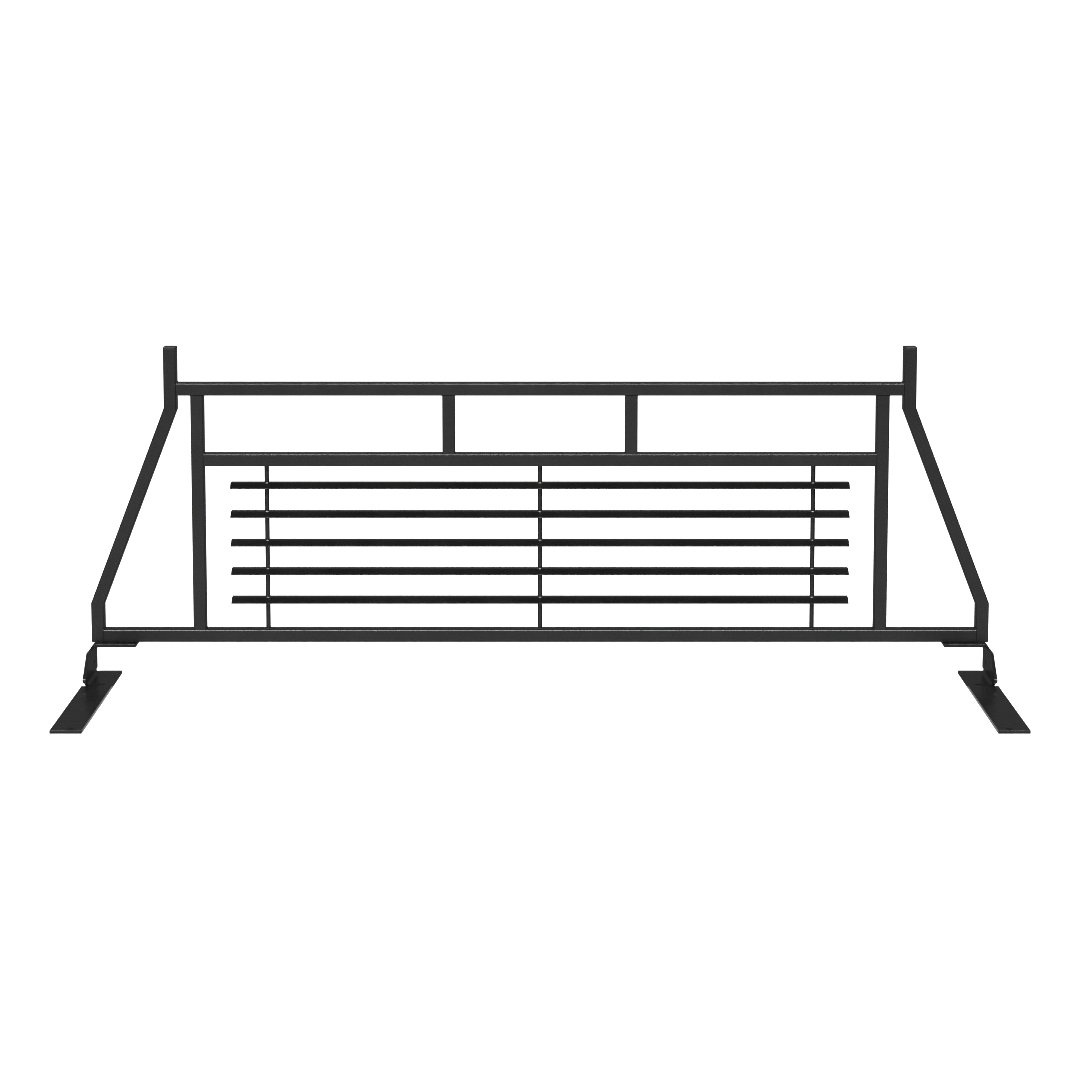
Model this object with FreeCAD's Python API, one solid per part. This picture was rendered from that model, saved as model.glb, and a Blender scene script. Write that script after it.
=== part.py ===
"""Ladder rack for a pickup truck's bed.

A welded frame of rectangular steel tube stands across the bed behind the cab. Its lower window is guarded by
louver slats on three rods. Two brackets, each one plate bent twice, carry the frame and bolt to the tops of
the bed walls.

Millimetres. +X is to the right as seen from behind the truck, +Y points forward to the cab and +Z is up.
The origin is on the plane that the feet rest on, midway between them and midway along them.
Every paired piece is made for the right side and mirrored for the left.
"""
import FreeCAD, Part
import math
import os

INCH = 25.4
V = FreeCAD.Vector

# Tube stock of the frame
TUBE_W = 1.0 * INCH           # across the tube, in the frame's plane
TUBE_D = 1.5 * INCH           # along the truck
TUBE_WALL = 2.1
TUBE_CORNER_R = 2.5

# Frame heights, above the underside of the bottom rail
FRAME_H = 24.0 * INCH         # to the tops of the stubs
TOP_RAIL_H = 510.6            # to the underside of the top rail
MIDDLE_RAIL_H = 365.2         # to the underside of the middle rail
UPPER_KINK_H = 485.4          # outer corner between upper stub and side brace
LOWER_KINK_H = 81.1           # outer corner between side brace and lower stub

# Frame widths, from the middle to the outer face of each upright
UPPER_STUB_X = 767.8
LOWER_STUB_X = 923.8
INNER_POST_X = 713.5
SHORT_POST_X = 199.5

# Plugs that close the tops of the stubs
PLUG_HEAD_H = 4.8
PLUG_EDGE_R = 0.6
PLUG_BODY_H = 20.0
PLUG_BODY_WALL = 1.6
PLUG_GAP = 1.1                # between the plug's body and the tube's bore
PLUG_FIN_T = 1.0
PLUG_FIN_PITCH = 5.0
PLUG_FIN_GAP = 0.1            # between a fin and the tube's bore

# Louver window guard
ROD_D = 0.375 * INCH
ROD_X = 560.5                 # outer rods; the third rod is in the middle
SLAT_COUNT = 5
SLAT_LENGTH = 50.0 * INCH
SLAT_TOP_H = 329.2            # top face of the uppermost slat, above the bottom rail's underside
SLAT_PITCH = 59.5
SLAT_T = 2.0
SLAT_LIP_RUN = 15.9           # how far the sloping lip reaches forward of the bend
SLAT_LIP_DROP = 9.7           # how far it falls over that run
SLAT_BEND_R = 2.0             # on the inside of the bend
SLAT_HOLE_GAP = 0.15          # round each rod
SLAT_EDGE_R = 0.4

# Brackets
PLATE = 0.25 * INCH
BEND_R = PLATE                # on the inside of each bend
BRACKET_H = 73.35             # from the bed wall to the underside of the frame
FOOT_L = 574.6
FOOT_W = 61.6
FOOT_OVERHANG = 4.7           # how far the foot reaches outboard of the leg
FOOT_CORNER_R = 1.5
STRIP_END_Y = 128.6           # the foot's full width ends here, in front of the leg
LEG_BEND_Y = (136.0, 271.0)   # the leg is joined to the foot between these
LEG_TOP_FRONT_Y = 172.2
LEG_TOP_H = 64.85             # free top edge of the leg, in front of the flange
LEG_TOE_CORNER = (107.2, 18.4)   # where the front and under edges would meet, y and height
LEG_TOE_R = 4.8
LEG_UNDER_H = 8.8             # of the sloping under edge, where the bend begins
LEG_HEEL_R = 5.0
LEG_CORNER_R = 2.5
LEG_HOLE = (240.0, 32.6)      # y and height
LEG_HOLE_D = 10.0
FLANGE_L = 94.1               # across the truck, from the leg's outer face
FLANGE_OVERHANG = 1.0 * INCH  # behind the frame
RELIEF_W = 3.0                # of the slot beside the end of each bend
RELIEF_H = 2.5                # how far the upper slot reaches below the flange's bend
PLATE_EDGE_R = 0.5

# Holes for bolting the feet down
FOOT_HOLE_D = 13.5
FOOT_HOLE_X = 890.0
FOOT_HOLE_Y = (-274.1, 143.6)

# Bolts that join the frame to the brackets: M8
BOLT_D = 8.0
BOLT_L = 20.0
BOLT_HEAD_AF = 13.0
BOLT_HEAD_H = 5.3
BOLT_FACE_D = 12.35           # flat circle on the end of the head, inside its chamfer
BOLT_TIP_CHAMFER = 1.0
BOLT_EDGE_X = 16.0            # first bolt, from the flange's inboard end
BOLT_PITCH_X = 36.0
BOLT_HOLE_D = 9.0
WASHER_D = 16.0
WASHER_T = 1.6
BUNG_D = 14.0
BUNG_L = 12.0
THREAD_GAP = 0.05

# Used in making the shapes
CUT_MARGIN = 1.0              # how far a cutting shape reaches past what it cuts
SAME_PLACE = 0.01             # points nearer than this count as one
SHARP = math.radians(30)      # faces that meet at more than this make a sharp edge

# Places that follow from the dimensions above
FOOT_BACK_Y = FOOT_L / 2
FRAME_BACK_Y = FOOT_BACK_Y
FRAME_Y = FRAME_BACK_Y - TUBE_D / 2
FRAME_FRONT_Y = FRAME_BACK_Y - TUBE_D
FRAME_TOP_Z = BRACKET_H + FRAME_H
TOP_RAIL_Z = BRACKET_H + TOP_RAIL_H + TUBE_W / 2
MIDDLE_RAIL_Z = BRACKET_H + MIDDLE_RAIL_H + TUBE_W / 2
BOTTOM_RAIL_Z = BRACKET_H + TUBE_W / 2
SLANT = math.atan2(LOWER_STUB_X - UPPER_STUB_X, UPPER_KINK_H - LOWER_KINK_H)
MITRE_FALL = TUBE_W * math.tan(SLANT / 2)
BEND_OUT_R = BEND_R + PLATE
LEG_IN_X = LOWER_STUB_X - PLATE
BEND_X = LOWER_STUB_X - BEND_OUT_R
FOOT_OUT_X = LOWER_STUB_X + FOOT_OVERHANG
FOOT_IN_X = FOOT_OUT_X - FOOT_W
FLANGE_IN_X = LOWER_STUB_X - FLANGE_L
FLANGE_FRONT_Y = FRAME_FRONT_Y - FLANGE_OVERHANG
FLANGE_UNDER_Z = BRACKET_H - PLATE
BOLT_X = [FLANGE_IN_X + BOLT_EDGE_X, FLANGE_IN_X + BOLT_EDGE_X + BOLT_PITCH_X]


def box(low, high):
    """A block between two opposite corners."""
    return Part.makeBox(high[0] - low[0], high[1] - low[1], high[2] - low[2], V(*low))


def rounded_bar(width, depth, radius, height):
    """A bar along +Z from the origin, width along X and depth along Y, with rounded long edges."""
    bar = box((-width / 2, -depth / 2, 0), (width / 2, depth / 2, height))
    long_edges = [edge for edge in bar.Edges if abs(edge.BoundBox.ZLength - height) < SAME_PLACE]
    return bar.makeFillet(radius, long_edges)


def prism_x(outline, x0, x1):
    """The outline, a list of (y, z) corners, extruded along X."""
    corners = [V(x0, y, z) for y, z in outline]
    face = Part.Face(Part.makePolygon(corners + corners[:1]))
    return face.extrude(V(x1 - x0, 0, 0))


def round_x_edges(shape, radius, places):
    """Round the edges that run along X through the given (y, z) places."""
    chosen = []
    for edge in shape.Edges:
        middle = edge.BoundBox.Center
        along_x = edge.BoundBox.YLength < SAME_PLACE and edge.BoundBox.ZLength < SAME_PLACE
        if along_x and any(math.hypot(middle.y - y, middle.z - z) < SAME_PLACE for y, z in places):
            chosen.append(edge)
    return shape.makeFillet(radius, chosen)


def sharp_edges(shape):
    """The edges where two faces meet at an angle, apart from the rims of holes."""
    found = []
    for edge in shape.Edges:
        faces = shape.ancestorsOfType(edge, Part.Face)
        if edge.isClosed() or len(faces) != 2:
            continue
        middle = edge.valueAt((edge.FirstParameter + edge.LastParameter) / 2)
        normals = [face.normalAt(*face.Surface.parameter(middle)) for face in faces]
        if normals[0].getAngle(normals[1]) > SHARP:
            found.append(edge)
    return found


def mirrored(shape):
    """The left-hand twin of a right-hand piece."""
    return shape.mirror(V(0, 0, 0), V(1, 0, 0))


def tube(start, end):
    """A square-cut tube whose axis runs between two (x, z) points of the frame's plane."""
    length = math.dist(start, end)
    lean = math.degrees(math.atan2(end[0] - start[0], end[1] - start[1]))
    outer = rounded_bar(TUBE_W, TUBE_D, TUBE_CORNER_R, length)
    bore = rounded_bar(TUBE_W - 2 * TUBE_WALL, TUBE_D - 2 * TUBE_WALL, TUBE_CORNER_R - TUBE_WALL, length)
    shape = outer.cut(bore)
    shape.rotate(V(0, 0, 0), V(0, 1, 0), lean)
    shape.translate(V(start[0], FRAME_Y, start[1]))
    return shape


def mitred_tube(outer_top, outer_bottom, inner_bottom, inner_top):
    """A tube trimmed to four (x, z) corners, so that its ends can be cut at an angle."""
    top = ((outer_top[0] + inner_top[0]) / 2, (outer_top[1] + inner_top[1]) / 2)
    bottom = ((outer_bottom[0] + inner_bottom[0]) / 2, (outer_bottom[1] + inner_bottom[1]) / 2)
    spare = TUBE_W / math.dist(top, bottom)
    rise = ((top[0] - bottom[0]) * spare, (top[1] - bottom[1]) * spare)
    stock = tube((bottom[0] - rise[0], bottom[1] - rise[1]), (top[0] + rise[0], top[1] + rise[1]))
    trim_y = FRAME_FRONT_Y - CUT_MARGIN
    corners = [V(x, trim_y, z) for x, z in (outer_top, outer_bottom, inner_bottom, inner_top)]
    trim = Part.Face(Part.makePolygon(corners + corners[:1])).extrude(V(0, TUBE_D + 2 * CUT_MARGIN, 0))
    return stock.common(trim)


def rails():
    """The three horizontal tubes. The bottom one has a hole in its underside for each threaded bung."""
    upper_half = UPPER_STUB_X - TUBE_W
    middle_half = INNER_POST_X - TUBE_W
    lower_half = LOWER_STUB_X - TUBE_W
    bottom = tube((-lower_half, BOTTOM_RAIL_Z), (lower_half, BOTTOM_RAIL_Z))
    for x in BOLT_X:
        for side in (-1, 1):
            bottom = bottom.cut(Part.makeCylinder(BUNG_D / 2, TUBE_W / 2, V(side * x, FRAME_Y, BRACKET_H)))
    return {
        "top_rail": tube((-upper_half, TOP_RAIL_Z), (upper_half, TOP_RAIL_Z)),
        "middle_rail": tube((-middle_half, MIDDLE_RAIL_Z), (middle_half, MIDDLE_RAIL_Z)),
        "bottom_rail": bottom,
    }


def outer_upright():
    """Upper stub, slanting side brace and lower stub of one side, mitred to each other."""
    upper_z = BRACKET_H + UPPER_KINK_H
    lower_z = BRACKET_H + LOWER_KINK_H
    outer = [
        (UPPER_STUB_X, FRAME_TOP_Z - PLUG_HEAD_H),
        (UPPER_STUB_X, upper_z),
        (LOWER_STUB_X, lower_z),
        (LOWER_STUB_X, BRACKET_H),
    ]
    inner = [
        (UPPER_STUB_X - TUBE_W, FRAME_TOP_Z - PLUG_HEAD_H),
        (UPPER_STUB_X - TUBE_W, upper_z - MITRE_FALL),
        (LOWER_STUB_X - TUBE_W, lower_z - MITRE_FALL),
        (LOWER_STUB_X - TUBE_W, BRACKET_H),
    ]
    names = ("upper_stub", "side_brace", "lower_stub")
    return {name: mitred_tube(outer[i], outer[i + 1], inner[i + 1], inner[i]) for i, name in enumerate(names)}


def posts():
    """The long post beside the louvers and the short post between the top and middle rails."""
    inner_x = INNER_POST_X - TUBE_W / 2
    short_x = SHORT_POST_X - TUBE_W / 2
    top_under = TOP_RAIL_Z - TUBE_W / 2
    return {
        "inner_post": tube((inner_x, BOTTOM_RAIL_Z + TUBE_W / 2), (inner_x, top_under)),
        "short_post": tube((short_x, MIDDLE_RAIL_Z + TUBE_W / 2), (short_x, top_under)),
    }


def stub_plug():
    """A push-in plug: a flat head over the tube's end, and a finned hollow body in its bore."""
    bore_w = TUBE_W - 2 * TUBE_WALL
    bore_d = TUBE_D - 2 * TUBE_WALL
    head = rounded_bar(TUBE_W, TUBE_D, TUBE_CORNER_R, PLUG_HEAD_H)
    top_edges = [edge for edge in head.Edges if edge.BoundBox.ZMin > PLUG_HEAD_H - SAME_PLACE]
    head = head.makeFillet(PLUG_EDGE_R, top_edges)
    body_w = bore_w - 2 * PLUG_GAP
    body_d = bore_d - 2 * PLUG_GAP
    body = box((-body_w / 2, -body_d / 2, -PLUG_BODY_H), (body_w / 2, body_d / 2, 0))
    plug = head.fuse(body)
    fin_w = bore_w - 2 * PLUG_FIN_GAP
    fin_d = bore_d - 2 * PLUG_FIN_GAP
    fin_z = -PLUG_FIN_PITCH
    while fin_z > -PLUG_BODY_H:
        fin = rounded_bar(fin_w, fin_d, TUBE_CORNER_R - TUBE_WALL, PLUG_FIN_T)
        fin.translate(V(0, 0, fin_z))
        plug = plug.fuse(fin)
        fin_z -= PLUG_FIN_PITCH
    core_w = body_w - 2 * PLUG_BODY_WALL
    core_d = body_d - 2 * PLUG_BODY_WALL
    plug = plug.cut(box((-core_w / 2, -core_d / 2, -PLUG_BODY_H), (core_w / 2, core_d / 2, 0)))
    plug.translate(V(UPPER_STUB_X - TUBE_W / 2, FRAME_Y, FRAME_TOP_Z - PLUG_HEAD_H))
    return plug


def louver_rod(x):
    """A round bar between the bottom and middle rails."""
    bottom = BOTTOM_RAIL_Z + TUBE_W / 2
    top = MIDDLE_RAIL_Z - TUBE_W / 2
    return Part.makeCylinder(ROD_D / 2, top - bottom, V(x, FRAME_Y, bottom))


def louver_slat(top_z):
    """A sheet strip, level at the back and bent down along its rear lip, as deep as the frame."""
    lip = math.atan2(SLAT_LIP_DROP, SLAT_LIP_RUN)
    bend_y = FRAME_FRONT_Y + SLAT_LIP_RUN
    inner_bend = (bend_y + SLAT_T * math.tan(lip / 2), top_z - SLAT_T)
    lip_top = (FRAME_FRONT_Y, top_z - SLAT_LIP_DROP)
    lip_under = (lip_top[0] + SLAT_T * math.sin(lip), lip_top[1] - SLAT_T * math.cos(lip))
    outline = [(FRAME_BACK_Y, top_z), (bend_y, top_z), lip_top, lip_under, inner_bend,
               (FRAME_BACK_Y, top_z - SLAT_T)]
    slat = prism_x(outline, -SLAT_LENGTH / 2, SLAT_LENGTH / 2)
    slat = round_x_edges(slat, SLAT_BEND_R + SLAT_T, [(bend_y, top_z)])
    slat = round_x_edges(slat, SLAT_BEND_R, [inner_bend])
    slat = slat.makeFillet(SLAT_EDGE_R, sharp_edges(slat))
    hole_bottom = lip_under[1] - CUT_MARGIN
    hole_h = top_z + CUT_MARGIN - hole_bottom
    for x in (-ROD_X, 0, ROD_X):
        slat = slat.cut(Part.makeCylinder(ROD_D / 2 + SLAT_HOLE_GAP, hole_h, V(x, FRAME_Y, hole_bottom)))
    return slat


def plate_bend(centre_z, upward, y0, y1):
    """A quarter turn of the plate about an axis along Y, between the leg and a level part."""
    ring = Part.makeCylinder(BEND_OUT_R, y1 - y0, V(BEND_X, y0, centre_z), V(0, 1, 0))
    ring = ring.cut(Part.makeCylinder(BEND_R, y1 - y0, V(BEND_X, y0, centre_z), V(0, 1, 0)))
    low_z = centre_z if upward else centre_z - BEND_OUT_R
    return ring.common(box((BEND_X, y0, low_z), (LOWER_STUB_X, y1, low_z + BEND_OUT_R)))


def bracket_leg():
    """The upright part of the bracket, with its forward toe and the slot beside the flange's bend."""
    bend_top = BRACKET_H - BEND_OUT_R
    outline = [
        (FOOT_BACK_Y, BEND_OUT_R),
        (FOOT_BACK_Y, bend_top),
        (FLANGE_FRONT_Y, bend_top),
        (FLANGE_FRONT_Y, bend_top - RELIEF_H),
        (FLANGE_FRONT_Y - RELIEF_W, bend_top - RELIEF_H),
        (FLANGE_FRONT_Y - RELIEF_W, LEG_TOP_H),
        (LEG_TOP_FRONT_Y, LEG_TOP_H),
        LEG_TOE_CORNER,
        (LEG_BEND_Y[0], LEG_UNDER_H),
        (LEG_BEND_Y[0], BEND_OUT_R),
    ]
    leg = prism_x(outline, LEG_IN_X, LOWER_STUB_X)
    leg = round_x_edges(leg, LEG_TOE_R, [LEG_TOE_CORNER])
    leg = round_x_edges(leg, LEG_HEEL_R, [(FOOT_BACK_Y, BEND_OUT_R)])
    leg = round_x_edges(leg, LEG_CORNER_R, [(LEG_TOP_FRONT_Y, LEG_TOP_H)])
    hole = Part.makeCylinder(LEG_HOLE_D / 2, PLATE, V(LEG_IN_X, LEG_HOLE[0], LEG_HOLE[1]), V(1, 0, 0))
    return leg.cut(hole)


def bracket_foot():
    """The level part that lies on the bed wall. It is narrower beside the leg than at either end."""
    front = box((FOOT_IN_X, -FOOT_BACK_Y, 0), (FOOT_OUT_X, STRIP_END_Y, PLATE))
    beside_leg = box((FOOT_IN_X, STRIP_END_Y, 0), (BEND_X, FOOT_BACK_Y, PLATE))
    cab_end = box((FOOT_IN_X, LEG_BEND_Y[1] + RELIEF_W, 0), (LOWER_STUB_X, FOOT_BACK_Y, PLATE))
    foot = front.multiFuse([beside_leg, cab_end]).removeSplitter()
    corners = [(FOOT_IN_X, -FOOT_BACK_Y), (FOOT_OUT_X, -FOOT_BACK_Y), (FOOT_OUT_X, STRIP_END_Y),
               (LOWER_STUB_X, FOOT_BACK_Y), (FOOT_IN_X, FOOT_BACK_Y)]
    chosen = []
    for edge in foot.Edges:
        middle = edge.BoundBox.Center
        if any(math.hypot(middle.x - x, middle.y - y) < SAME_PLACE for x, y in corners):
            chosen.append(edge)
    foot = foot.makeFillet(FOOT_CORNER_R, chosen)
    for y in FOOT_HOLE_Y:
        foot = foot.cut(Part.makeCylinder(FOOT_HOLE_D / 2, PLATE, V(FOOT_HOLE_X, y, 0)))
    return foot


def mounting_bracket():
    """One plate bent twice: foot, leg and the flange that the frame stands on."""
    flange = box((FLANGE_IN_X, FLANGE_FRONT_Y, FLANGE_UNDER_Z), (BEND_X, FRAME_BACK_Y, BRACKET_H))
    for x in BOLT_X:
        flange = flange.cut(Part.makeCylinder(BOLT_HOLE_D / 2, PLATE, V(x, FRAME_Y, FLANGE_UNDER_Z)))
    pieces = [
        bracket_leg(),
        plate_bend(BEND_OUT_R, False, LEG_BEND_Y[0], LEG_BEND_Y[1]),
        plate_bend(BRACKET_H - BEND_OUT_R, True, FLANGE_FRONT_Y, FRAME_BACK_Y),
        flange,
    ]
    bracket = bracket_foot().multiFuse(pieces).removeSplitter()
    # The edges are softened, except in the two planes where the lower bend ends.
    softened = []
    for edge in sharp_edges(bracket):
        from_bend_ends = min(abs(edge.BoundBox.Center.y - y) for y in LEG_BEND_Y)
        if edge.BoundBox.YLength > SAME_PLACE or from_bend_ends > SAME_PLACE:
            softened.append(edge)
    return bracket.makeFillet(PLATE_EDGE_R, softened)


def hex_bolt():
    """An M8 bolt pointing up, with the underside of its head at the origin."""
    corner_r = BOLT_HEAD_AF / 2 / math.cos(math.pi / 6)
    turns = [i * math.pi / 3 for i in range(6)]
    corners = [V(corner_r * math.cos(turn), corner_r * math.sin(turn), -BOLT_HEAD_H) for turn in turns]
    head = Part.Face(Part.makePolygon(corners + corners[:1])).extrude(V(0, 0, BOLT_HEAD_H))
    # A cone trims the hexagon's lower corners, as on a forged head. It widens by two for each one it rises.
    face_r = BOLT_FACE_D / 2
    head = head.common(Part.makeCone(face_r, face_r + 2 * BOLT_HEAD_H, BOLT_HEAD_H, V(0, 0, -BOLT_HEAD_H)))
    shank = Part.makeCylinder(BOLT_D / 2, BOLT_L - BOLT_TIP_CHAMFER)
    tip = Part.makeCone(BOLT_D / 2, BOLT_D / 2 - BOLT_TIP_CHAMFER, BOLT_TIP_CHAMFER,
                        V(0, 0, BOLT_L - BOLT_TIP_CHAMFER))
    return head.multiFuse([shank, tip]).removeSplitter()


def ring_part(outer_d, inner_d, height):
    """A washer or bung standing on the origin."""
    return Part.makeCylinder(outer_d / 2, height).cut(Part.makeCylinder(inner_d / 2, height))


def at_each_bolt(piece, z):
    """Copies of a fastener at the four bolt places, as one group of separate solids."""
    copies = []
    for side in (-1, 1):
        for x in BOLT_X:
            copy = piece.copy()
            copy.translate(V(side * x, FRAME_Y, z))
            copies.append(copy)
    return Part.makeCompound(copies)


def build():
    """Every node of the rack, by name."""
    nodes = rails()
    right_hand = outer_upright()
    right_hand.update(posts())
    right_hand["stub_plug"] = stub_plug()
    right_hand["mounting_bracket"] = mounting_bracket()
    for name, shape in right_hand.items():
        nodes[name + "_right"] = shape
        nodes[name + "_left"] = mirrored(shape)
    for name, x in (("left", -ROD_X), ("centre", 0), ("right", ROD_X)):
        nodes["louver_rod_" + name] = louver_rod(x)
    for i in range(SLAT_COUNT):
        nodes["louver_slat_%d" % (i + 1)] = louver_slat(BRACKET_H + SLAT_TOP_H - i * SLAT_PITCH)
    washer_z = FLANGE_UNDER_Z - WASHER_T
    nodes["bracket_bolts"] = at_each_bolt(hex_bolt(), washer_z)
    nodes["bracket_washers"] = at_each_bolt(ring_part(WASHER_D, BOLT_HOLE_D, WASHER_T), washer_z)
    nodes["threaded_bungs"] = at_each_bolt(ring_part(BUNG_D, BOLT_D + 2 * THREAD_GAP, BUNG_L), BRACKET_H)
    return nodes


os.makedirs("parts", exist_ok=True)
for node_name, node_shape in build().items():
    node_shape.exportStep("parts/%s.step" % node_name)
    print("%-26s valid %s  solids %d  volume %.1f cm3" % (
        node_name, node_shape.isValid(), len(node_shape.Solids), node_shape.Volume / 1000))
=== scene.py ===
"""Looks of the ladder rack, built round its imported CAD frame. Metres, in the row frame:
+X to the right as seen from behind the truck, +Y forward to the cab, +Z up.
Here the front is the -Y side, which faces the camera, and the back is the +Y side."""
import math
import random

import bmesh
import bpy
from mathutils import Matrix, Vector


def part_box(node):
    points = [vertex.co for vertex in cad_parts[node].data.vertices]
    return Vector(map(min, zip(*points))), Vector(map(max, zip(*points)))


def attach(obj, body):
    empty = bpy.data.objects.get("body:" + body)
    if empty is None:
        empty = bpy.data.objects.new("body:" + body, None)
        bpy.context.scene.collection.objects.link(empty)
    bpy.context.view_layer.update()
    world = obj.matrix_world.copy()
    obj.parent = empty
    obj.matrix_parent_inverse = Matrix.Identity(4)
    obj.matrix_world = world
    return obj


MM = 0.001

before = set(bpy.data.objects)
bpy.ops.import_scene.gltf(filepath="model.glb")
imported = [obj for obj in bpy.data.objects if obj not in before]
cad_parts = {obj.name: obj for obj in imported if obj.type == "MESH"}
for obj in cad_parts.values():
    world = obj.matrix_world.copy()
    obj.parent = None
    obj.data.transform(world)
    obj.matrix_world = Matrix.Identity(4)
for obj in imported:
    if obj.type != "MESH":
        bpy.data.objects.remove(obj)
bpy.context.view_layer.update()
scene = bpy.context.scene
scene.view_settings.view_transform = "Standard"
scene.cycles.filter_width = 1.0      # in pixels: keeps the thin highlights and joint lines crisp

# Sizes of the steel that the weld beads follow
TUBE_CORNER_R = 2.5 * MM
ROD_R = 9.525 / 2 * MM
SLAT_LIP_RUN = 15.9 * MM      # from a slat's front edge back to its bend
SLAT_LIP_DROP = 9.7 * MM      # how far the lip falls over that run

# Weld beads
TUBE_WELD = 1.5 * MM          # leg of the bead, along either face
ROD_WELD = 1.4 * MM
RIPPLE_PITCH = 1.2 * MM
RIPPLE_DEPTH = 0.11           # as a share of the leg
RIPPLE_BOW = 0.9              # how far a ripple's middle trails its ends, in radians
BEAD_SINK = 0.3 * MM          # how far the bead's root lies inside the steel
BEAD_STEP = 0.24 * MM         # between the bead's cross-sections
BEAD_ARC_POINTS = 7
BEAD_ROUND = 1.5              # 1 is a full round bead, 2 a flat one
BEAD_WANDER = 0.025           # slow change of size along the bead, as a share of the leg
WANDER_WAVES = (2, 3, 4)      # how often each part of that change repeats along a bead
BEAD_END_CUT = 0.1            # how much of a bead's rounded end is missing, as a share of the leg

# Camera: the photograph's viewing angle
CAMERA_PLACE = (0.0, -6.0296, 1.27855)
CAMERA_TILT = 7.5             # degrees below level
LENS = 103.27                 # mm, over a sensor 36 mm wide
SENSOR_W = 36.0
LENS_SHIFT = -0.0741

# Lamps: place, target, width and height in metres, watts
RACK_MIDDLE = (0.0, 0.2, 0.4)
LAMPS = {
    "key": ((-0.3, -4.6, 4.8), RACK_MIDDLE, (6.0, 1.0), 1250.0),
    "front_card": ((-0.9, -4.4, 0.001), (-0.9, -4.4, 1.0), (5.2, 9.1), 85.0),
    "back_left": ((-4.0, 2.8, 5.0), RACK_MIDDLE, (3.0, 2.4), 100.0),
    "back_right": ((4.0, 2.8, 5.0), RACK_MIDDLE, (3.0, 2.4), 100.0),
}
ROOM_GREY = (0.085, 0.085, 0.087)

# Studio sweep: a disc, flat in the middle, whose rim curves up
SWEEP_FLAT_R = 14.0
SWEEP_RIM_R = 30.0
SWEEP_RIM_H = 11.0
SWEEP_RINGS = 32
SWEEP_SPOKES = 96
SWEEP_GREY = 0.8
SWEEP_ROUGHNESS = 0.9
SWEEP_GLOW = 0.8              # the sweep's own light, which keeps it pale out to its rim


# ---------------------------------------------------------------- camera, floor and light
def add_camera():
    """The photograph's view: level sideways, tilted slightly down, with a long lens."""
    data = bpy.data.cameras.new("camera")
    data.sensor_width = SENSOR_W
    data.lens = LENS
    data.shift_y = LENS_SHIFT
    data.clip_end = 4 * SWEEP_RIM_R
    camera = bpy.data.objects.new("camera", data)
    camera.location = CAMERA_PLACE
    camera.rotation_euler = (math.radians(90 - CAMERA_TILT), 0.0, 0.0)
    scene.collection.objects.link(camera)
    scene.camera = camera


def add_area_light(name, place, target, size, power):
    """A soft rectangular lamp that faces the target."""
    data = bpy.data.lights.new(name, "AREA")
    data.shape = "RECTANGLE"
    data.size, data.size_y = size
    data.energy = power
    lamp = bpy.data.objects.new(name, data)
    lamp.location = place
    lamp.rotation_euler = (Vector(target) - Vector(place)).to_track_quat("-Z", "Y").to_euler()
    lamp.visible_camera = False
    scene.collection.objects.link(lamp)


def new_material(name):
    """A node material, with its tree and its Principled shader."""
    material = bpy.data.materials.new(name)
    material.use_nodes = True
    tree = material.node_tree
    return material, tree, tree.nodes["Principled BSDF"]


def add_floor():
    """A pale studio sweep that closes the view all round."""
    verts = [(0.0, 0.0, 0.0)]
    for ring in range(1, SWEEP_RINGS + 1):
        radius = SWEEP_RIM_R * ring / SWEEP_RINGS
        up_rim = max(0.0, (radius - SWEEP_FLAT_R) / (SWEEP_RIM_R - SWEEP_FLAT_R))
        for spoke in range(SWEEP_SPOKES):
            turn = 2 * math.pi * spoke / SWEEP_SPOKES
            verts.append((radius * math.cos(turn), radius * math.sin(turn), up_rim ** 2 * SWEEP_RIM_H))
    faces = [(0, 1 + spoke, 1 + (spoke + 1) % SWEEP_SPOKES) for spoke in range(SWEEP_SPOKES)]
    for ring in range(SWEEP_RINGS - 1):
        inner = 1 + ring * SWEEP_SPOKES
        outer = inner + SWEEP_SPOKES
        for spoke in range(SWEEP_SPOKES):
            after = (spoke + 1) % SWEEP_SPOKES
            faces.append((inner + spoke, outer + spoke, outer + after, inner + after))
    mesh = bpy.data.meshes.new("floor")
    mesh.from_pydata(verts, [], faces)
    mesh.shade_smooth()
    floor = bpy.data.objects.new("floor", mesh)
    floor.visible_glossy = False      # the coat's gloss shows the dim room and the lamps, not the sweep
    scene.collection.objects.link(floor)
    material, tree, shader = new_material("studio_floor")
    shader.inputs["Base Color"].default_value = (SWEEP_GREY, SWEEP_GREY, SWEEP_GREY, 1.0)
    shader.inputs["Roughness"].default_value = SWEEP_ROUGHNESS
    shader.inputs["Specular IOR Level"].default_value = 0.0
    shader.inputs["Emission Color"].default_value = (1.0, 1.0, 1.0, 1.0)
    shader.inputs["Emission Strength"].default_value = SWEEP_GLOW
    mesh.materials.append(material)


def add_lights():
    """A high soft box and a white floor card in front, a soft box behind each side, and a dim room."""
    for name, (place, target, size, power) in LAMPS.items():
        add_area_light(name, place, target, size, power)
    world = bpy.data.worlds.new("room")
    world.use_nodes = True
    background = world.node_tree.nodes["Background"]
    background.inputs["Color"].default_value = (*ROOM_GREY, 1.0)
    scene.world = world


# ---------------------------------------------------------------- materials
# Scales are in cells per metre, except the steel's rings, whose spacing is 2 pi / (20 x scale) metres.
# A pair of tints or of roughnesses gives both ends of its range.
NOISE_SPREAD = (0.3, 0.7)     # the part of a noise's values that is carried onto such a range

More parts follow.
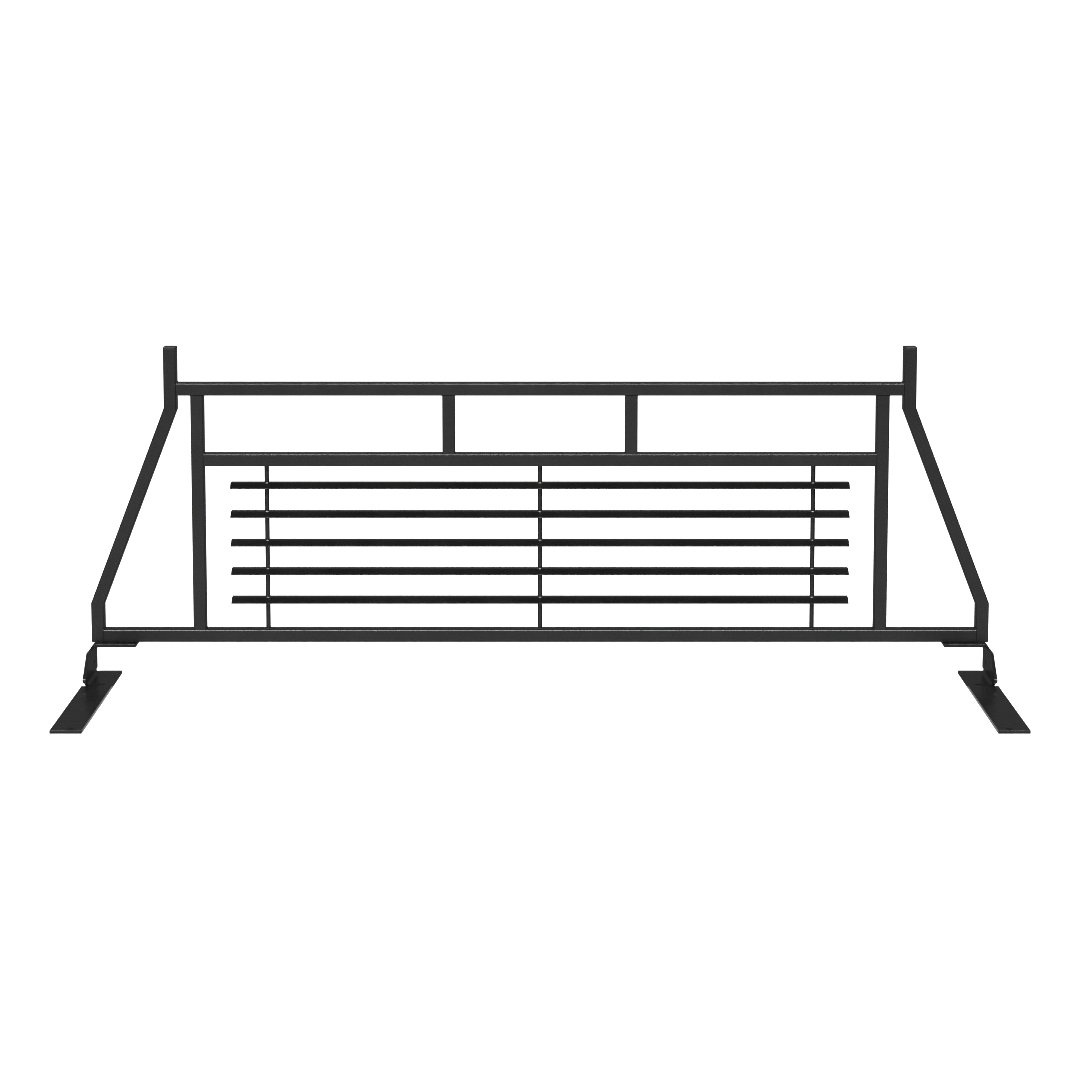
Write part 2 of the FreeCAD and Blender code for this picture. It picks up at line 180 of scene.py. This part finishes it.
COAT_TINTS = ((0.003, 0.003, 0.0031), (0.0042, 0.0042, 0.0041))
COAT_ROUGHNESS = (0.23, 0.29)
COAT_GRAIN_ROUGHNESS = 0.03   # how much the grain adds or takes away
COAT_PATCH_SCALE = 14.0
COAT_PEEL_SCALE = 900.0
COAT_PEEL_DEPTH = 0.02 * MM
COAT_GRAIN_SCALE = 4200.0
COAT_GRAIN_DEPTH = 0.008 * MM
COAT_BUMP = 0.5

PLASTIC_TINTS = ((0.0036, 0.0036, 0.0037), (0.0052, 0.0052, 0.0053))
PLASTIC_ROUGHNESS = (0.32, 0.4)
PLASTIC_CLOUD_SCALE = 120.0
PLASTIC_SPARKLE_SCALE = 1600.0
PLASTIC_SPARKLE_DEPTH = 0.03 * MM
PLASTIC_BUMP = 0.5

ZINC_TINTS = ((0.52, 0.55, 0.6), (0.66, 0.65, 0.6))
ZINC_ROUGHNESS = (0.28, 0.44)
ZINC_SHEEN_SCALE = 160.0
ZINC_MARK_SCALE = 2600.0
ZINC_MARK_HARSHNESS = 0.7
ZINC_MARK_DEPTH = 0.01 * MM
ZINC_BUMP = 0.4

STEEL_TINTS = ((0.3, 0.3, 0.31), (0.44, 0.43, 0.42))
STEEL_ROUGHNESS = (0.32, 0.5)
STEEL_STAIN_SCALE = 180.0
STEEL_RING_SCALE = 900.0
STEEL_RING_WAVER = 0.6
STEEL_RING_DEPTH = 0.02 * MM
STEEL_BUMP = 0.5


def add_noise(tree, place, scale, detail, roughness=0.5):
    """A noise texture in the object's own space, in cells per metre."""
    noise = tree.nodes.new("ShaderNodeTexNoise")
    noise.inputs["Scale"].default_value = scale
    noise.inputs["Detail"].default_value = detail
    noise.inputs["Roughness"].default_value = roughness
    tree.links.new(place, noise.inputs["Vector"])
    return noise.outputs["Fac"]


def add_range(tree, value, low, high):
    """Carry a noise's value onto low..high."""
    node = tree.nodes.new("ShaderNodeMapRange")
    node.inputs["From Min"].default_value = NOISE_SPREAD[0]
    node.inputs["From Max"].default_value = NOISE_SPREAD[1]
    node.inputs["To Min"].default_value = low
    node.inputs["To Max"].default_value = high
    tree.links.new(value, node.inputs["Value"])
    return node.outputs["Result"]


def add_tint(tree, value, tints):
    """A colour between the two tints, by a noise's value."""
    ramp = tree.nodes.new("ShaderNodeValToRGB")
    for element, position, tint in zip(ramp.color_ramp.elements, NOISE_SPREAD, tints):
        element.position = position
        element.color = (*tint, 1.0)
    tree.links.new(value, ramp.inputs["Fac"])
    return ramp.outputs["Color"]


def add_bump(tree, height, depth, strength, under=None):
    """Relief of the given depth in metres, over another relief where one is given."""
    bump = tree.nodes.new("ShaderNodeBump")
    bump.inputs["Strength"].default_value = strength
    bump.inputs["Distance"].default_value = depth
    tree.links.new(height, bump.inputs["Height"])
    if under is not None:
        tree.links.new(under, bump.inputs["Normal"])
    return bump.outputs["Normal"]


def object_space(tree):
    """Where a point lies in the row frame."""
    return tree.nodes.new("ShaderNodeTexCoord").outputs["Object"]


def powder_coat():
    """Satin black powder coat: orange peel about a millimetre across, and a fine grain over it."""
    material, tree, shader = new_material("powder_coat_satin_black")
    place = object_space(tree)
    patches = add_noise(tree, place, COAT_PATCH_SCALE, detail=4.0)
    peel = add_noise(tree, place, COAT_PEEL_SCALE, detail=1.0)
    grain = add_noise(tree, place, COAT_GRAIN_SCALE, detail=1.0)
    tree.links.new(add_tint(tree, patches, COAT_TINTS), shader.inputs["Base Color"])
    rough = tree.nodes.new("ShaderNodeMath")
    rough.operation = "ADD"
    tree.links.new(add_range(tree, patches, *COAT_ROUGHNESS), rough.inputs[0])
    tree.links.new(add_range(tree, grain, -COAT_GRAIN_ROUGHNESS, COAT_GRAIN_ROUGHNESS), rough.inputs[1])
    tree.links.new(rough.outputs["Value"], shader.inputs["Roughness"])
    waves = add_bump(tree, peel, COAT_PEEL_DEPTH, COAT_BUMP)
    relief = add_bump(tree, grain, COAT_GRAIN_DEPTH, COAT_BUMP, under=waves)
    tree.links.new(relief, shader.inputs["Normal"])
    return material


def moulded_plastic():
    """Black polyethylene with the fine sparkle of a spark-eroded mould."""
    material, tree, shader = new_material("moulded_black_plastic")
    place = object_space(tree)
    cells = tree.nodes.new("ShaderNodeTexVoronoi")
    cells.inputs["Scale"].default_value = PLASTIC_SPARKLE_SCALE
    tree.links.new(place, cells.inputs["Vector"])
    clouds = add_noise(tree, place, PLASTIC_CLOUD_SCALE, detail=3.0)
    tree.links.new(add_tint(tree, clouds, PLASTIC_TINTS), shader.inputs["Base Color"])
    tree.links.new(add_range(tree, clouds, *PLASTIC_ROUGHNESS), shader.inputs["Roughness"])
    sparkle = add_bump(tree, cells.outputs["Distance"], PLASTIC_SPARKLE_DEPTH, PLASTIC_BUMP)
    tree.links.new(sparkle, shader.inputs["Normal"])
    return material


def zinc_plate():
    """Bright zinc with a slight blue and straw passivation and fine tumbling marks."""
    material, tree, shader = new_material("bright_zinc_plate")
    place = object_space(tree)
    sheen = add_noise(tree, place, ZINC_SHEEN_SCALE, detail=3.0)
    marks = add_noise(tree, place, ZINC_MARK_SCALE, detail=3.0, roughness=ZINC_MARK_HARSHNESS)
    tree.links.new(add_tint(tree, sheen, ZINC_TINTS), shader.inputs["Base Color"])
    shader.inputs["Metallic"].default_value = 1.0
    tree.links.new(add_range(tree, marks, *ZINC_ROUGHNESS), shader.inputs["Roughness"])
    tree.links.new(add_bump(tree, marks, ZINC_MARK_DEPTH, ZINC_BUMP), shader.inputs["Normal"])
    return material


def turned_steel():
    """Bare steel with the rings of a lathe tool, stacked up the axis of each bung."""
    material, tree, shader = new_material("turned_steel")
    place = object_space(tree)
    rings = tree.nodes.new("ShaderNodeTexWave")
    rings.bands_direction = "Z"
    rings.inputs["Scale"].default_value = STEEL_RING_SCALE
    rings.inputs["Distortion"].default_value = STEEL_RING_WAVER
    tree.links.new(place, rings.inputs["Vector"])
    stain = add_noise(tree, place, STEEL_STAIN_SCALE, detail=4.0)
    tree.links.new(add_tint(tree, stain, STEEL_TINTS), shader.inputs["Base Color"])
    shader.inputs["Metallic"].default_value = 1.0
    tree.links.new(add_range(tree, stain, *STEEL_ROUGHNESS), shader.inputs["Roughness"])
    grooves = add_bump(tree, rings.outputs["Fac"], STEEL_RING_DEPTH, STEEL_BUMP)
    tree.links.new(grooves, shader.inputs["Normal"])
    return material


def finish_nodes(materials):
    """Give every CAD node the finish of its slot."""
    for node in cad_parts.values():
        for slot in node.material_slots:
            slot.material = materials[slot.material.name.split(".")[0]]


# ---------------------------------------------------------------- weld beads
class Beads:
    """A welder's run of beads at one joint, gathered into one mesh."""

    def __init__(self, name):
        self.name = name
        self.verts = []
        self.faces = []
        self.random = random.Random(name)

    def add_run(self, stations, closed):
        """A bead through stations of (corner, along one face, along the other face, leg)."""
        lead = self.random.uniform(0.0, math.pi)
        sway = [self.random.uniform(0.0, 2 * math.pi) for _ in WANDER_WAVES]
        first = len(self.verts)
        ring = BEAD_ARC_POINTS + 1
        length = (len(stations) - 1 + closed) * BEAD_STEP
        turns = round(length / RIPPLE_PITCH)
        for i, (corner, along_a, along_b, leg) in enumerate(stations):
            share = i / (len(stations) - 1 + closed)
            wander = sum(math.sin(2 * math.pi * wave * share + phase)
                         for wave, phase in zip(WANDER_WAVES, sway))
            for point in range(BEAD_ARC_POINTS):
                t = point / (BEAD_ARC_POINTS - 1)
                swell = math.sin(math.pi * t)
                ripple = abs(math.sin(math.pi * turns * share + lead - RIPPLE_BOW * swell))
                size = leg * (1.0 + BEAD_WANDER * wander - RIPPLE_DEPTH * (1.0 - ripple) * swell)
                reach_a = size * math.cos(math.pi / 2 * t) ** BEAD_ROUND
                reach_b = size * math.sin(math.pi / 2 * t) ** BEAD_ROUND
                self.verts.append(corner + along_a * reach_a + along_b * reach_b)
            self.verts.append(corner - (along_a + along_b) * BEAD_SINK)
        joins = len(stations) if closed else len(stations) - 1
        for i in range(joins):
            here = first + i * ring
            there = first + (i + 1) % len(stations) * ring
            for k in range(ring):
                after = (k + 1) % ring
                self.faces.append((here + k, here + after, there + after, there + k))
        if not closed:
            last = first + (len(stations) - 1) * ring
            self.faces.append(tuple(range(first + ring - 1, first - 1, -1)))
            self.faces.append(tuple(range(last, last + ring)))

    def add_straight(self, start, end, along_a, along_b, leg):
        """A run between two points of a corner, thinning away at both ends."""
        start, end, along_a, along_b = (Vector(v) for v in (start, end, along_a, along_b))
        length = (end - start).length
        count = max(2, round(length / BEAD_STEP))
        stations = []
        for i in range(count + 1):
            from_end = min(i, count - i) * length / count
            taper = math.sqrt(1.0 - max(0.0, 1.0 - (from_end + BEAD_END_CUT * leg) / leg) ** 2)
            stations.append((start.lerp(end, i / count), along_a, along_b, leg * taper))
        self.add_run(stations, closed=False)

    def add_ring(self, centre, radius, up, leg, fall=None):
        """A run round a rod. fall(y) is how far the plate lies below the ring's plane at that y."""
        centre = Vector(centre)
        count = round(2 * math.pi * (radius + leg / 2) / BEAD_STEP)
        stations = []
        for i in range(count):
            turn = 2 * math.pi * i / count
            outward = Vector((math.cos(turn), math.sin(turn), 0.0))
            stations.append((centre + outward * radius, outward, Vector((0.0, 0.0, up)), leg))
        first = len(self.verts)
        self.add_run(stations, closed=True)
        if fall is None:
            return
        for vert in self.verts[first:]:
            height = max(0.0, (vert.z - centre.z) * up)
            vert.z -= fall(vert.y) * (1.0 - min(1.0, height / leg))

    def make(self, material):
        """The mesh as a piece of the rack."""
        mesh = bpy.data.meshes.new(self.name)
        mesh.from_pydata(self.verts, [], self.faces)
        shell = bmesh.new()
        shell.from_mesh(mesh)
        bmesh.ops.recalc_face_normals(shell, faces=shell.faces)
        shell.to_mesh(mesh)
        shell.free()
        mesh.shade_smooth()
        mesh.materials.append(material)
        piece = bpy.data.objects.new(self.name, mesh)
        scene.collection.objects.link(piece)
        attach(piece, "root")


def corner_span(node):
    """Front and back ends of the flat part of a tube's side."""
    low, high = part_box(node)
    return low.y + TUBE_CORNER_R, high.y - TUBE_CORNER_R


def weld_rail(rail, upright, side, faces, coat):
    """Beads where a rail's end meets an upright, on the rail's top (1) or underside (-1) as faces says."""
    low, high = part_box(rail)
    end_x = (low.x, high.x)[side > 0]
    front, back = corner_span(rail)
    beads = Beads("weld_%s_%s" % (rail, upright))
    for face in faces:
        z = (low.z, high.z)[face > 0]
        beads.add_straight((end_x, front, z), (end_x, back, z), (-side, 0, 0), (0, 0, face), TUBE_WELD)
    beads.make(coat)


def weld_post(post, coat):
    """Beads on both sides of a post, where its ends meet the rails."""
    low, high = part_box(post)
    front, back = corner_span(post)
    for end, z, up in (("bottom", low.z, 1), ("top", high.z, -1)):
        beads = Beads("weld_%s_%s" % (post, end))
        for x, away in ((low.x, -1), (high.x, 1)):
            beads.add_straight((x, front, z), (x, back, z), (away, 0, 0), (0, 0, up), TUBE_WELD)
        beads.make(coat)


SLATS = sorted(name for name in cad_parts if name.startswith("louver_slat"))
SLAT_BEND_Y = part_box(SLATS[0])[0].y + SLAT_LIP_RUN


def slat_fall(y):
    """How far a slat's top face lies below its level flange."""
    return max(0.0, SLAT_BEND_Y - y) * SLAT_LIP_DROP / SLAT_LIP_RUN


def weld_rod(rod, coat):
    """A bead round each end of a rod, and one on top of each slat that it passes through."""
    low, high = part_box(rod)
    x = (low.x + high.x) / 2
    y = (low.y + high.y) / 2
    for end, z, up in (("bottom", low.z, 1), ("top", high.z, -1)):
        beads = Beads("weld_%s_%s" % (rod, end))
        beads.add_ring((x, y, z), ROD_R, up, ROD_WELD)
        beads.make(coat)
    for slat in SLATS:
        beads = Beads("weld_%s_%s" % (rod, slat))
        beads.add_ring((x, y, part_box(slat)[1].z), ROD_R, 1, ROD_WELD, slat_fall)
        beads.make(coat)


def add_welds(coat):
    """Every weld bead of the rack."""
    for name, side in (("left", -1), ("right", 1)):
        weld_rail("top_rail", "upper_stub_" + name, side, (1, -1), coat)
        weld_rail("middle_rail", "inner_post_" + name, side, (1, -1), coat)
        weld_rail("bottom_rail", "lower_stub_" + name, side, (1,), coat)
        weld_post("inner_post_" + name, coat)
        weld_post("short_post_" + name, coat)
    for name in ("left", "centre", "right"):
        weld_rod("louver_rod_" + name, coat)


add_camera()
add_floor()
add_lights()
finishes = {"powder_coat": powder_coat(), "black_plastic": moulded_plastic(),
            "zinc_plate": zinc_plate(), "bare_steel": turned_steel()}
finish_nodes(finishes)
add_welds(finishes["powder_coat"])
